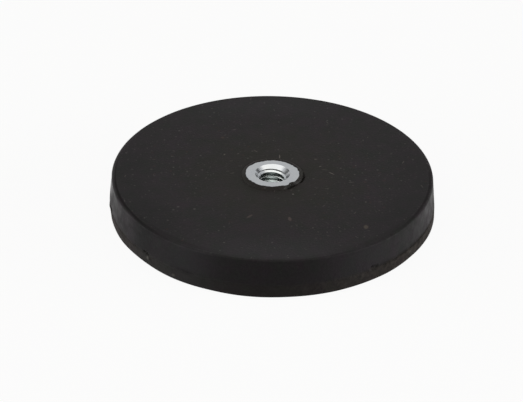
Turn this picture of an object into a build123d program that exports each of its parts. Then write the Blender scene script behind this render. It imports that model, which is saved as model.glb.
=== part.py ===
from build123d import *
from math import radians, tan
import os

# Rubber-coated pot magnet with a threaded bush, 66 mm across.
#
# Frame: +Z up along the symmetry axis, origin at the centre of the holding face.
# From the holding face up come a rubber floor, a ring of disc magnets, a steel plate
# that carries the bush, and the rubber top. The rubber is one moulding round them all.

# Layers, from the holding face up
floor_skin = 1.2            # rubber under the magnets
magnet_thickness = 4.0
plate_thickness = 2.0
top_skin = 1.3              # rubber over the plate

# Rubber coat
outer_dia = 66.0            # widest, at the mould's parting line
side_skin = 3.0             # rubber outside the rim of the plate
parting_height = 2.9        # parting line above the holding face
top_inset = 0.42            # how far the side leans in from the parting line to the top
floor_inset = 0.35          # and from the parting line down to the holding face
parting_groove_depth = 0.2
parting_groove_width = 0.36
top_edge_radius = 0.4
floor_edge_radius = 0.3
collar_width = 0.77         # foot of the low collar round the bush
collar_lip = 0.2            # flat top of that collar
collar_drop = 0.05          # collar top below the face of the bush

# Threaded bush, for an M6 screw
thread_dia = 6.0
thread_pitch = 1.0
bush_dia = 11.2
bush_proud = 0.4            # face of the bush above the rubber top
bush_edge_chamfer = 0.15
countersink_dia = 7.2
drill_point_angle = 118
bush_end_wall = 0.8         # steel left under the drill point
flange_dia = 17.0
flange_thickness = 1.5

# Magnets
magnet_count = 8            # even, so that the poles alternate
magnet_dia = 13.0
magnet_chamfer = 0.3
magnet_setback = 1.5        # rim of a magnet in from the rim of the plate

# Heights
plate_base = floor_skin + magnet_thickness
body_height = plate_base + plate_thickness + top_skin
bush_top = body_height + bush_proud
collar_top = bush_top - collar_drop

# Radii
parting_radius = outer_dia / 2
top_radius = parting_radius - top_inset
floor_radius = parting_radius - floor_inset
bush_radius = bush_dia / 2
flange_radius = flange_dia / 2
collar_radius = bush_radius + collar_width
plate_radius = parting_radius - side_skin
magnet_circle_radius = plate_radius - magnet_setback - magnet_dia / 2

# The bore, drilled at the tapping size and countersunk at 90 degrees
tap_radius = (thread_dia - thread_pitch) / 2
countersink_depth = countersink_dia / 2 - tap_radius
drill_tip = floor_skin + bush_end_wall
wall_base = drill_tip + tap_radius / tan(radians(drill_point_angle / 2))

# Steel plate: a flat disc with a seat for the bush
with BuildPart() as steel_plate:
    with BuildSketch(Plane.XY.offset(plate_base)):
        Circle(plate_radius)
        Circle(bush_radius, mode=Mode.SUBTRACT)
    extrude(amount=plate_thickness)
steel_plate.part.label = "steel_plate"

# Bush blank: turned in one piece, with a flange that bears on the plate from below
with BuildPart() as bush_blank:
    with BuildSketch(Plane.XZ):
        with BuildLine():
            Polyline(
                (0, floor_skin),
                (bush_radius, floor_skin),
                (bush_radius, plate_base - flange_thickness),
                (flange_radius, plate_base - flange_thickness),
                (flange_radius, plate_base),
                (bush_radius, plate_base),
                (bush_radius, bush_top),
                (0, bush_top),
                close=True,
            )
        make_face()
    revolve(axis=Axis.Z)
    face_rim = bush_blank.edges().filter_by(GeomType.CIRCLE).sort_by(Axis.Z)[-1]
    chamfer(face_rim, bush_edge_chamfer)

# Threaded bush: the blank, drilled and countersunk from its face
with BuildPart() as threaded_bush:
    add(bush_blank.part)
    with BuildSketch(Plane.XZ):
        with BuildLine():
            Polyline(
                (0, drill_tip),
                (tap_radius, wall_base),
                (tap_radius, bush_top - countersink_depth),
                (countersink_dia / 2, bush_top),
                (0, bush_top),
                close=True,
            )
        make_face()
    revolve(axis=Axis.Z, mode=Mode.SUBTRACT)
threaded_bush.part.label = "threaded_bush"

# Magnets: equal discs, evenly spaced under the plate
magnets = []
for number, place in enumerate(PolarLocations(magnet_circle_radius, magnet_count), start=1):
    with BuildPart() as magnet:
        with BuildSketch(Plane.XY.offset(floor_skin)):
            with Locations(place):
                Circle(magnet_dia / 2)
        extrude(amount=magnet_thickness)
        chamfer(magnet.edges().filter_by(GeomType.CIRCLE), magnet_chamfer)
    magnet.part.label = f"magnet_{number}"
    magnets.append(magnet)

# Rubber coat: its outer form is turned, then everything that it is moulded round is taken out
with BuildPart() as rubber_coat:
    with BuildSketch(Plane.XZ):
        with BuildLine():
            Polyline(
                (0, 0),
                (floor_radius, 0),
                (parting_radius, parting_height - parting_groove_width / 2),
                (parting_radius - parting_groove_depth, parting_height),
                (parting_radius, parting_height + parting_groove_width / 2),
                (top_radius, body_height),
                (collar_radius, body_height),
                (bush_radius + collar_lip, collar_top),
                (0, collar_top),
                close=True,
            )
        make_face()
    revolve(axis=Axis.Z)
    rings = rubber_coat.edges().filter_by(GeomType.CIRCLE).group_by(Axis.Z)
    fillet(rings[-2].sort_by(SortBy.RADIUS)[-1], top_edge_radius)
    fillet(rings[0], floor_edge_radius)
    add(bush_blank.part, mode=Mode.SUBTRACT)
    add(steel_plate.part, mode=Mode.SUBTRACT)
    for magnet in magnets:
        add(magnet.part, mode=Mode.SUBTRACT)
rubber_coat.part.label = "rubber_coat"

os.makedirs("parts", exist_ok=True)
export_step(rubber_coat.part, "parts/rubber_coat.step")
export_step(threaded_bush.part, "parts/threaded_bush.step")
export_step(steel_plate.part, "parts/steel_plate.step")
for magnet in magnets:
    export_step(magnet.part, f"parts/{magnet.part.label}.step")
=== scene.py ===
import bpy
from math import cos, pi, radians, sin, tan
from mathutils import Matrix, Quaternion, Vector


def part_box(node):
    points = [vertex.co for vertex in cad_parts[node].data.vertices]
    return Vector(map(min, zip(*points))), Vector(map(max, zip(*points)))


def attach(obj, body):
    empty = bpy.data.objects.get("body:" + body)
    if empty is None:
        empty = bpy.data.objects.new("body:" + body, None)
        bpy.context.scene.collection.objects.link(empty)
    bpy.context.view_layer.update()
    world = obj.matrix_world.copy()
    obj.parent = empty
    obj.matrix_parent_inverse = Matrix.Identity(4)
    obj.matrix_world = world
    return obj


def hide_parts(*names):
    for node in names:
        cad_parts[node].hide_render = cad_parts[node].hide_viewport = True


# Rubber-coated pot magnet, 66 mm across: a moulded rubber disc with a tapped steel bush at its centre.
# Lengths in the dictionaries are in mm and angles in degrees, counted from +X towards +Y.

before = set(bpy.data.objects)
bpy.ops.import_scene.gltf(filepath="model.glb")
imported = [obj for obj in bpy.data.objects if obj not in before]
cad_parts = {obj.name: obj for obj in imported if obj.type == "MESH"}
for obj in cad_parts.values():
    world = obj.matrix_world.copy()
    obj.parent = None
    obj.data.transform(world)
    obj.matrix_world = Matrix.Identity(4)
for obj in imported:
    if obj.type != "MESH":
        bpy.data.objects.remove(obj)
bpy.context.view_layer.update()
scene = bpy.context.scene
print("frame loaded:", len(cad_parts), "nodes")

metresPerMm = 0.001
mmPerMetre = 1000.0
smoothly = {"interpolation_type": "SMOOTHSTEP"}
verySmoothly = {"interpolation_type": "SMOOTHERSTEP"}
falling = {"To Min": 1.0, "To Max": 0.0}
noiseSpan = {"From Min": 0.3, "From Max": 0.7}      # holds nearly all that a noise gives


def linearColour(hexText):  # sRGB hex to linear RGBA
    parts = [int(hexText[i:i + 2], 16) / 255 for i in (1, 3, 5)]
    return tuple(c / 12.92 if c <= 0.04045 else ((c + 0.055) / 1.055) ** 2.4 for c in parts) + (1.0,)


def addNode(tree, kind, settings=None, inputs=None):  # one node with its settings and links
    node = tree.nodes.new(kind)
    for name, value in (settings or {}).items():
        setattr(node, name, value)
    for key, value in (inputs or {}).items():
        if isinstance(key, int):
            socket = node.inputs[key]
        else:
            socket = next(s for s in node.inputs if s.name == key and s.enabled)
        for item in value if isinstance(value, list) else [value]:
            if isinstance(item, bpy.types.Node):
                item = next(s for s in item.outputs if s.enabled)
            if isinstance(item, bpy.types.NodeSocket):
                tree.links.new(item, socket)
            else:
                socket.default_value = item
    return node


def newShapeTree(name, sizes, extra=()):  # a geometry tree with one named input for each size
    tree = bpy.data.node_groups.new(name, "GeometryNodeTree")
    tree.interface.new_socket("Geometry", in_out="INPUT", socket_type="NodeSocketGeometry")
    for label, value in sizes.items():
        kind = "NodeSocketInt" if isinstance(value, int) else "NodeSocketFloat"
        tree.interface.new_socket(label, in_out="INPUT", socket_type=kind).default_value = value
    for label, kind in extra:
        tree.interface.new_socket(label, in_out="INPUT", socket_type=kind)
    tree.interface.new_socket("Geometry", in_out="OUTPUT", socket_type="NodeSocketGeometry")
    return tree, tree.nodes.new("NodeGroupInput").outputs


def dressTree(tree, geometry, crispAngle, material):
    # the end of a piece's tree: smooth faces, crisp edges, metres, and the material
    bend = addNode(tree, "GeometryNodeInputMeshEdgeAngle")
    crisp = addNode(tree, "ShaderNodeMath", {"operation": "GREATER_THAN"},
                    {0: bend.outputs["Unsigned Angle"], 1: radians(crispAngle)})
    smooth = addNode(tree, "GeometryNodeSetShadeSmooth", {"domain": "FACE"},
                     {"Geometry": geometry, "Shade Smooth": True})
    smooth = addNode(tree, "GeometryNodeSetShadeSmooth", {"domain": "EDGE"},
                     {"Geometry": smooth, "Selection": crisp, "Shade Smooth": False})
    metric = addNode(tree, "GeometryNodeTransform", {},
                     {"Geometry": smooth, "Scale": (metresPerMm, metresPerMm, metresPerMm)})
    whole = addNode(tree, "GeometryNodeRealizeInstances", {}, {"Geometry": metric})
    dressed = addNode(tree, "GeometryNodeSetMaterial", {}, {"Geometry": whole, "Material": material})
    addNode(tree, "NodeGroupOutput", {}, {"Geometry": dressed})


def newObject(name, data):
    made = bpy.data.objects.new(name, data)
    scene.collection.objects.link(made)
    return made


def profileObject(name, corners, arcSteps=6):
    # a line through corners of (radius, height, rounding, row spacing up to the next corner)
    spots = [Vector(c[:2]) for c in corners]
    line = []
    for i, here in enumerate(spots):
        rounding = corners[i][2]
        arc = [here]
        if rounding:
            toBefore = (spots[i - 1] - here).normalized()
            toAfter = (spots[i + 1] - here).normalized()
            halfAngle = toBefore.angle(toAfter) / 2
            centre = here + (toBefore + toAfter).normalized() * rounding / sin(halfAngle)
            start = here + toBefore * rounding / tan(halfAngle) - centre
            sweep = (pi - 2 * halfAngle) * (1 if start.x * toAfter.y - start.y * toAfter.x > 0 else -1)
            turns = [sweep * k / arcSteps for k in range(arcSteps + 1)]
            arc = [centre + Vector((start.x * cos(t) - start.y * sin(t),
                                    start.x * sin(t) + start.y * cos(t))) for t in turns]
        if line:
            gap = (arc[0] - line[-1]).length
            rows = max(1, round(gap / corners[i - 1][3]))
            last = line[-1]
            line += [last.lerp(arc[0], k / rows) for k in range(1, rows)]
        line += arc
    mesh = bpy.data.meshes.new(name)
    mesh.from_pydata([(p.x, 0, p.y) for p in line], [(k, k + 1) for k in range(len(line) - 1)], [])
    return newObject(name, mesh)


def bakeTree(name, source, tree, values):
    # runs the tree on the source object and keeps the result as a plain mesh
    modifier = source.modifiers.new("shape", "NODES")
    modifier.node_group = tree
    for item in tree.interface.items_tree:
        if item.in_out == "INPUT" and item.name in values:
            modifier[item.identifier] = values[item.name]
    bpy.context.view_layer.update()
    shown = source.evaluated_get(bpy.context.evaluated_depsgraph_get())
    mesh = bpy.data.meshes.new_from_object(shown)
    mesh.name = name
    made = newObject(name, mesh)
    source.modifiers.remove(modifier)
    bpy.data.objects.remove(source)
    triangleCount = sum(len(p.vertices) - 2 for p in mesh.polygons)
    print(name + ":", len(mesh.vertices), "vertices,", triangleCount, "triangles")
    return made


def newFinish(name, metallic, roughness, level=0.5):
    # a material with its shader's fixed values, its tree and its position in mm
    finish = bpy.data.materials.new(name)
    finish.use_nodes = True
    shader = finish.node_tree.nodes["Principled BSDF"]
    shader.inputs["Metallic"].default_value = metallic
    shader.inputs["Roughness"].default_value = roughness
    shader.inputs["Specular IOR Level"].default_value = level
    here = addNode(finish.node_tree, "ShaderNodeTexCoord").outputs["Object"]
    here = addNode(finish.node_tree, "ShaderNodeVectorMath", {"operation": "SCALE"},
                   {"Vector": here, "Scale": mmPerMetre})
    return finish, finish.node_tree, shader, here


# Turned form: spins a profile line round the Z axis and closes its seam and poles
seamReach = 0.002               # points nearer than this become one
turnedTree, given = newShapeTree("turnedForm", {"segments": 96})
profileCount = addNode(turnedTree, "GeometryNodeAttributeDomainSize", {"component": "MESH"},
                       {"Geometry": given["Geometry"]}).outputs["Point Count"]
columnCount = addNode(turnedTree, "ShaderNodeMath", {"operation": "ADD"}, {0: given["segments"], 1: 1.0})
sheetGrid = addNode(turnedTree, "GeometryNodeMeshGrid", {},
                    {"Vertices X": columnCount, "Vertices Y": profileCount})
index = addNode(turnedTree, "GeometryNodeInputIndex")
row = addNode(turnedTree, "FunctionNodeIntegerMath", {"operation": "MODULO"}, {0: index, 1: profileCount})
column = addNode(turnedTree, "FunctionNodeIntegerMath", {"operation": "DIVIDE_FLOOR"},
                 {0: index, 1: profileCount})
spot = addNode(turnedTree, "GeometryNodeSampleIndex", {"data_type": "FLOAT_VECTOR", "domain": "POINT"},
               {"Geometry": given["Geometry"], "Index": row,
                "Value": addNode(turnedTree, "GeometryNodeInputPosition")})
share = addNode(turnedTree, "ShaderNodeMath", {"operation": "DIVIDE"}, {0: column, 1: given["segments"]})
turn = addNode(turnedTree, "ShaderNodeMath", {"operation": "MULTIPLY"}, {0: share, 1: 2 * pi})
spun = addNode(turnedTree, "ShaderNodeVectorRotate", {"rotation_type": "Z_AXIS"},
               {"Vector": spot, "Angle": turn})
sheet = addNode(turnedTree, "GeometryNodeSetPosition", {},
                {"Geometry": sheetGrid.outputs["Mesh"], "Position": spun})
closed = addNode(turnedTree, "GeometryNodeMergeByDistance", {}, {"Geometry": sheet, "Distance": seamReach})
addNode(turnedTree, "NodeGroupOutput", {}, {"Geometry": closed})

# Angle window: 1 at an angle round the part, falling smoothly to 0 at half its width to each side
windowTrees = {}
for treeKind in ("GeometryNodeTree", "ShaderNodeTree"):
    windowTree = bpy.data.node_groups.new("angleWindow", treeKind)
    for label in ("angle", "centre", "halfWidth"):
        windowTree.interface.new_socket(label, in_out="INPUT", socket_type="NodeSocketFloat")
    windowTree.interface.new_socket("share", in_out="OUTPUT", socket_type="NodeSocketFloat")
    given = windowTree.nodes.new("NodeGroupInput").outputs
    apart = addNode(windowTree, "ShaderNodeMath", {"operation": "SUBTRACT"},
                    {0: given["angle"], 1: given["centre"]})
    apart = addNode(windowTree, "ShaderNodeMath", {"operation": "WRAP"}, {0: apart, 1: 180.0, 2: -180.0})
    apart = addNode(windowTree, "ShaderNodeMath", {"operation": "ABSOLUTE"}, {0: apart})
    share = addNode(windowTree, "ShaderNodeMapRange", verySmoothly,
                    {"Value": apart, "From Max": given["halfWidth"], **falling})
    addNode(windowTree, "NodeGroupOutput", {}, {"share": share})
    windowTrees[treeKind] = windowTree


def sumOfWindows(tree, angle, windows):  # adds up windows of (angle, half width, height)
    groupKind = tree.bl_idname.replace("Tree", "Group")
    total = 0.0
    for centre, halfWidth, height in windows:
        part = addNode(tree, groupKind, {"node_tree": windowTrees[tree.bl_idname]},
                       {"angle": angle, "centre": float(centre), "halfWidth": float(halfWidth)})
        total = addNode(tree, "ShaderNodeMath", {"operation": "MULTIPLY_ADD"},
                        {0: part, 1: float(height), 2: total})
    return total


def spotShare(tree, place, spot, full, gone, height=1.0, blend=smoothly):
    # the height up to one distance from a spot, falling to 0 at another
    away = addNode(tree, "ShaderNodeVectorMath", {"operation": "DISTANCE"}, {0: place, 1: spot})
    return addNode(tree, "ShaderNodeMapRange", blend,
                   {"Value": away, "From Min": full, "From Max": gone, "To Min": height, "To Max": 0.0})


# Rubber coat
coat = {
    "floorRadius": 32.65,
    "partingRadius": 33.0,
    "partingHeight": 2.9,
    "topRadius": 32.58,
    "bodyHeight": 8.5,
    "topEdgeRadius": 0.4,
    "floorEdgeRadius": 0.3,
    "collarFoot": 6.37,
    "collarLip": 5.8,
    "collarTop": 8.85,
    "bushFace": 8.9,
    "crispAngle": 40,           # edges that bend more than this stay crisp
    "magnetHeadroom": 0.4,      # a magnet's pocket runs on into the plate's by this much
    "closeRowsLow": 2.5,        # rows are close together round the parting line
    "closeRowsHigh": 3.3,
    "closeRowsFrom": 7.2,       # and between these two radii, for the crease and the film
    "closeRowsTo": 4.9,
    "sideFrom": 31.5,           # what is further out than this belongs to the side
    "topFrom": 8.3,             # and what is higher than this to the top
    "sideLumps": 6.0,           # size of the unevenness of the side
    "lineLumps": 14.0,          # how often the parting line turns up and down, to a radian
    "lineWander": 0.08,         # and how far
    "bandLumps": 1.1,           # the rough band under the parting line
    "bandFull": -0.35,          # from the parting line to where the band is full and where it begins
    "bandBegins": -0.1,
    "bandShut": 0.3,            # share of its roughness where the line is shut
    "bandOpen": 0.7,            # and what is added where it is open
    "rimFoot": 0.3,             # below this height the lower rim has its whole shift
    "topLumps": 9.0,
    "creaseLumps": 6.0,         # how often the crease turns in and out, to a radian
    "creaseWander": 0.09,       # and how far
    "creaseSpread": 0.55,       # how much wider the crease is for each mm of depth
    "rollInner": 30.7,          # the top edge rolls down between these two radii
    "rollOuter": 32.7,
    "rollLow": 7.0,             # and the roll fades between these two heights
    "rollHigh": 8.1,
    "filmTo": 5.9,              # the film keeps within this radius
    "filmLumps": 0.8,
    "filmStarts": -0.06,        # from the film's edge to where it starts and where it is full
    "filmFull": 0.1,
    "filmSunk": -0.04,          # share of its thickness at the start, just under the bush's face
    "filmThickening": 0.25,     # share of its raggedness that thickens it
    "lipInner": 5.62,           # between these two radii it runs out into the collar
    "lipOuter": 5.85,
}
coatMarks = {
    "segments": 640,
    "grooveHalfWidth": 0.18,
    "grooveDepth": 0.05,        # where the parting line hardly shows
    "grooveExtra": 0.2,         # and what its open stretches add
    "sideUnevenness": 0.05,
    "bandRoughness": 0.055,     # below the parting line
    "topUnevenness": 0.03,
    "edgeDrop": 0.22,           # how far the top edge rolls down where it is soft
    "filmEdge": 5.52,           # inner edge of the rubber film on the bush
    "filmThickness": 0.05,
    "filmRaggedness": 0.45,
    "creaseRadius": 6.3,
    "creaseDepth": 0.06,
    "creaseWidth": 0.15,
}
openParting = [                                        # angle, half width, share of grooveExtra
    (-30, 32, 1.0), (2, 14, 0.6), (-168, 18, 0.45), (-121, 6, 0.45),
]
sideDents = [                                          # angle, height, reach, depth (below 0 stands out)
    (-138, 2.8, 0.75, 0.5), (-139.5, 2.95, 0.65, 0.42), (-137.5, 1.9, 0.8, -0.16),
    (-52.5, 3.2, 0.9, 0.5), (-50.9, 3.2, 0.7, 0.35), (-57, 2.2, 0.9, -0.12),
    (-168.5, 3.4, 0.9, 0.4), (-9, 3.5, 0.6, 0.15), (-174, 2.8, 1.1, -0.1),
    (-178, 6.6, 2.4, 0.15), (-126, 1.0, 0.8, -0.1), (-32.5, 2.2, 0.9, -0.12),
]
bandShifts = [                                         # angle, half width, how far out the lower rim stands
    (-7, 26, 0.32), (-143.5, 16, -0.17), (-122, 14, 0.09), (-99, 18, 0.13),
    (-54, 18, -0.1), (-35, 14, -0.07), (-174, 11, 0.07), (-2, 9, 0.08),
]
softEdges = [(-135, 34, 1.0), (-40, 34, 1.0)]          # angle, half width, share of edgeDrop
filmLaps = [                                           # angle, half width, how far the film laps in
    (58, 50, 0.46), (108, 48, 0.46), (143, 16, 0.18), (-98, 22, 0.26), (-75, 20, 0.33),
    (-132, 34, 0.17), (-45, 13, 0.34), (0, 10, 0.1), (15, 8, 0.18), (31, 9, 0.12),
]
creaseGaps = [(-50, 24, 0.8), (-14, 34, 0.38), (205, 40, 0.06)]           # angle, half width, added depth
creaseShifts = [(-47, 34, -0.36), (90, 70, -0.2), (-105, 40, 0.25)]       # angle, half width, how far out
magnetRing = {"magnetCircle": 22.0, "magnetCount": 8}
roomSegments = {"plate": 192, "magnet": 96}


def sidePlace(angle, height):  # a point on the side
    turn = radians(angle)
    return (coat["partingRadius"] * cos(turn), coat["partingRadius"] * sin(turn), height)


coatTree, given = newShapeTree("mouldedCoat", {**coatMarks, **magnetRing}, [
    ("pocketProfile", "NodeSocketObject"), ("magnetProfile", "NodeSocketObject"),
    ("finish", "NodeSocketMaterial")])
blank = addNode(coatTree, "GeometryNodeGroup", {"node_tree": turnedTree},
                {"Geometry": given["Geometry"], "segments": given["segments"]})
position = addNode(coatTree, "GeometryNodeInputPosition")
axes = addNode(coatTree, "ShaderNodeSeparateXYZ", {}, {"Vector": position}).outputs
flat = addNode(coatTree, "ShaderNodeVectorMath", {"operation": "MULTIPLY"}, {0: position, 1: (1, 1, 0)})
radius = addNode(coatTree, "ShaderNodeVectorMath", {"operation": "LENGTH"}, {0: flat})
outward = addNode(coatTree, "ShaderNodeVectorMath", {"operation": "NORMALIZE"}, {0: flat})
angle = addNode(coatTree, "ShaderNodeMath", {"operation": "ARCTAN2"}, {0: axes["Y"], 1: axes["X"]})
angle = addNode(coatTree, "ShaderNodeMath", {"operation": "DEGREES"}, {0: angle})

# Side: parting groove, rough band under it, dents, a slight unevenness all over
partingOpen = sumOfWindows(coatTree, angle, openParting)
wobble = addNode(coatTree, "ShaderNodeTexNoise", {"noise_dimensions": "3D"},
                 {"Vector": outward, "Scale": coat["lineLumps"], "Detail": 3.0})
lineHeight = addNode(coatTree, "ShaderNodeMapRange", {},
                     {"Value": wobble, **noiseSpan,
                      "To Min": coat["partingHeight"] - coat["lineWander"],
                      "To Max": coat["partingHeight"] + coat["lineWander"]})
fromLine = addNode(coatTree, "ShaderNodeMath", {"operation": "SUBTRACT"}, {0: axes["Z"], 1: lineHeight})
offLine = addNode(coatTree, "ShaderNodeMath", {"operation": "ABSOLUTE"}, {0: fromLine})
grooveShape = addNode(coatTree, "ShaderNodeMapRange", {},
                      {"Value": offLine, "From Min": 0.0, "From Max": given["grooveHalfWidth"],
                       "To Min": -1.0, "To Max": 0.0})
grooveDeep = addNode(coatTree, "ShaderNodeMath", {"operation": "MULTIPLY_ADD"},
                     {0: partingOpen, 1: given["grooveExtra"], 2: given["grooveDepth"]})
sideShift = addNode(coatTree, "ShaderNodeMath", {"operation": "MULTIPLY"}, {0: grooveShape, 1: grooveDeep})

unevenNoise = addNode(coatTree, "ShaderNodeTexNoise", {},
                      {"Vector": position, "Scale": 1 / coat["sideLumps"], "Detail": 2.0})
uneven = addNode(coatTree, "ShaderNodeMath", {"operation": "SUBTRACT"}, {0: unevenNoise, 1: 0.5})
sideShift = addNode(coatTree, "ShaderNodeMath", {"operation": "MULTIPLY_ADD"},
                    {0: uneven, 1: given["sideUnevenness"], 2: sideShift})
bandNoise = addNode(coatTree, "ShaderNodeTexNoise", {},
                    {"Vector": position, "Scale": 1 / coat["bandLumps"], "Detail": 3.0})
bandNoise = addNode(coatTree, "ShaderNodeMath", {"operation": "SUBTRACT"}, {0: bandNoise, 1: 0.45})
bandShare = addNode(coatTree, "ShaderNodeMapRange", smoothly,
                    {"Value": fromLine, "From Min": coat["bandFull"],
                     "From Max": coat["bandBegins"], **falling})
bandAngle = addNode(coatTree, "ShaderNodeMath", {"operation": "MULTIPLY_ADD"},
                    {0: partingOpen, 1: coat["bandOpen"], 2: coat["bandShut"]})
bandShare = addNode(coatTree, "ShaderNodeMath", {"operation": "MULTIPLY"}, {0: bandShare, 1: bandAngle})
bandHeight = addNode(coatTree, "ShaderNodeMath", {"operation": "MULTIPLY"},
                     {0: bandShare, 1: given["bandRoughness"]})
sideShift = addNode(coatTree, "ShaderNodeMath", {"operation": "MULTIPLY_ADD"},
                    {0: bandNoise, 1: bandHeight, 2: sideShift})
downShare = addNode(coatTree, "ShaderNodeMapRange", {},
                    {"Value": axes["Z"], "From Min": coat["rimFoot"],
                     "From Max": coat["partingHeight"], **falling})
sideShift = addNode(coatTree, "ShaderNodeMath", {"operation": "MULTIPLY_ADD"},
                    {0: sumOfWindows(coatTree, angle, bandShifts), 1: downShare, 2: sideShift})
for dentAngle, dentHeight, reach, depth in sideDents:
    dent = spotShare(coatTree, position, sidePlace(dentAngle, dentHeight), 0.0, reach, -depth,
                     verySmoothly)
    sideShift = addNode(coatTree, "ShaderNodeMath", {"operation": "ADD"}, {0: dent, 1: sideShift})
sideMove = addNode(coatTree, "ShaderNodeVectorMath", {"operation": "SCALE"},
                   {0: outward, "Scale": sideShift})
onSide = addNode(coatTree, "ShaderNodeMath", {"operation": "GREATER_THAN"},
                 {0: radius, 1: coat["sideFrom"]})
sided = addNode(coatTree, "GeometryNodeSetPosition", {},
                {"Geometry": blank, "Selection": onSide, "Offset": sideMove})

# Top: a slight waviness, the crease at the foot of the collar, and the soft stretches of the edge
topNoise = addNode(coatTree, "ShaderNodeTexNoise", {},
                   {"Vector": position, "Scale": 1 / coat["topLumps"], "Detail": 2.0})
topWave = addNode(coatTree, "ShaderNodeMath", {"operation": "SUBTRACT"}, {0: topNoise, 1: 0.5})
topShift = addNode(coatTree, "ShaderNodeMath", {"operation": "MULTIPLY"},
                   {0: topWave, 1: given["topUnevenness"]})
creaseNoise = addNode(coatTree, "ShaderNodeTexNoise", {},
                      {"Vector": outward, "Scale": coat["creaseLumps"], "Detail": 3.0})
creasePlace = addNode(coatTree, "ShaderNodeMapRange", {},
                      {"Value": creaseNoise, **noiseSpan,
                       "To Min": -coat["creaseWander"], "To Max": coat["creaseWander"]})
creasePlace = addNode(coatTree, "ShaderNodeMath", {"operation": "ADD"},
                      {0: creasePlace, 1: given["creaseRadius"]})
creasePlace = addNode(coatTree, "ShaderNodeMath", {"operation": "ADD"},
                      {0: creasePlace, 1: sumOfWindows(coatTree, angle, creaseShifts)})
creaseDeep = addNode(coatTree, "ShaderNodeMath", {"operation": "ADD"},
                     {0: sumOfWindows(coatTree, angle, creaseGaps), 1: given["creaseDepth"]})
creaseAway = addNode(coatTree, "ShaderNodeMath", {"operation": "SUBTRACT"}, {0: radius, 1: creasePlace})
creaseAway = addNode(coatTree, "ShaderNodeMath", {"operation": "ABSOLUTE"}, {0: creaseAway})
creaseWide = addNode(coatTree, "ShaderNodeMath", {"operation": "MULTIPLY_ADD"},
                     {0: creaseDeep, 1: coat["creaseSpread"], 2: given["creaseWidth"]})
creaseShape = addNode(coatTree, "ShaderNodeMapRange", smoothly,
                      {"Value": creaseAway, "From Min": 0.0, "From Max": creaseWide,
                       "To Min": -1.0, "To Max": 0.0})
topShift = addNode(coatTree, "ShaderNodeMath", {"operation": "MULTIPLY_ADD"},
                   {0: creaseShape, 1: creaseDeep, 2: topShift})
onTop = addNode(coatTree, "ShaderNodeMath", {"operation": "GREATER_THAN"},
                {0: axes["Z"], 1: coat["topFrom"]})
topShift = addNode(coatTree, "ShaderNodeMath", {"operation": "MULTIPLY"}, {0: topShift, 1: onTop})
edgeRoll = addNode(coatTree, "ShaderNodeMapRange", smoothly,
                   {"Value": radius, "From Min": coat["rollInner"],
                    "From Max": coat["rollOuter"], "To Min": 0.0, "To Max": -1.0})
edgeShare = addNode(coatTree, "ShaderNodeMapRange", {},
                    {"Value": axes["Z"], "From Min": coat["rollLow"], "From Max": coat["rollHigh"]})
edgeRoll = addNode(coatTree, "ShaderNodeMath", {"operation": "MULTIPLY"}, {0: edgeRoll, 1: edgeShare})
edgeDrop = addNode(coatTree, "ShaderNodeMath", {"operation": "MULTIPLY"},
                   {0: sumOfWindows(coatTree, angle, softEdges), 1: given["edgeDrop"]})
topShift = addNode(coatTree, "ShaderNodeMath", {"operation": "MULTIPLY_ADD"},
                   {0: edgeRoll, 1: edgeDrop, 2: topShift})
topMove = addNode(coatTree, "ShaderNodeCombineXYZ", {}, {"Z": topShift})
topped = addNode(coatTree, "GeometryNodeSetPosition", {}, {"Geometry": sided, "Offset": topMove})

# Film: a thin ragged skin of rubber that has crept over the rim of the bush
raggedNoise = addNode(coatTree, "ShaderNodeTexNoise", {},
                      {"Vector": position, "Scale": 1 / coat["filmLumps"], "Detail": 3.0})
ragged = addNode(coatTree, "ShaderNodeMath", {"operation": "SUBTRACT"}, {0: raggedNoise, 1: 0.5})
ragged = addNode(coatTree, "ShaderNodeMath", {"operation": "MULTIPLY"},
                 {0: ragged, 1: given["filmRaggedness"]})
lapped = addNode(coatTree, "ShaderNodeMath", {"operation": "SUBTRACT"},
                 {0: ragged, 1: sumOfWindows(coatTree, angle, filmLaps)})
filmEdge = addNode(coatTree, "ShaderNodeMath", {"operation": "ADD"}, {0: lapped, 1: given["filmEdge"]})
inFilm = addNode(coatTree, "ShaderNodeMath", {"operation": "SUBTRACT"}, {0: radius, 1: filmEdge})
filmShare = addNode(coatTree, "ShaderNodeMapRange", {},
                    {"Value": inFilm, "From Min": coat["filmStarts"], "From Max": coat["filmFull"],
                     "To Min": coat["filmSunk"], "To Max": 1.0})
lump = addNode(coatTree, "ShaderNodeMath", {"operation": "MULTIPLY_ADD"},
               {0: ragged, 1: coat["filmThickening"], 2: given["filmThickness"]})
filmLift = addNode(coatTree, "ShaderNodeMath", {"operation": "MULTIPLY"}, {0: filmShare, 1: lump})
filmZ = addNode(coatTree, "ShaderNodeMath", {"operation": "ADD"}, {0: filmLift, 1: coat["bushFace"]})
lipBlend = addNode(coatTree, "ShaderNodeMapRange", smoothly,
                   {"Value": radius, "From Min": coat["lipInner"],
                    "From Max": coat["lipOuter"], **falling})
filmZ = addNode(coatTree, "ShaderNodeMix", {"data_type": "FLOAT"},
                {"Factor": lipBlend, "A": axes["Z"], "B": filmZ})
filmPlace = addNode(coatTree, "ShaderNodeCombineXYZ", {}, {"X": axes["X"], "Y": axes["Y"], "Z": filmZ})
onFilm = addNode(coatTree, "ShaderNodeMath", {"operation": "LESS_THAN"},
                 {0: radius, 1: coat["filmTo"]})
onFilm = addNode(coatTree, "ShaderNodeMath", {"operation": "MULTIPLY"}, {0: onFilm, 1: onTop})
filmed = addNode(coatTree, "GeometryNodeSetPosition", {},
                 {"Geometry": topped, "Selection": onFilm, "Position": filmPlace})

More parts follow.
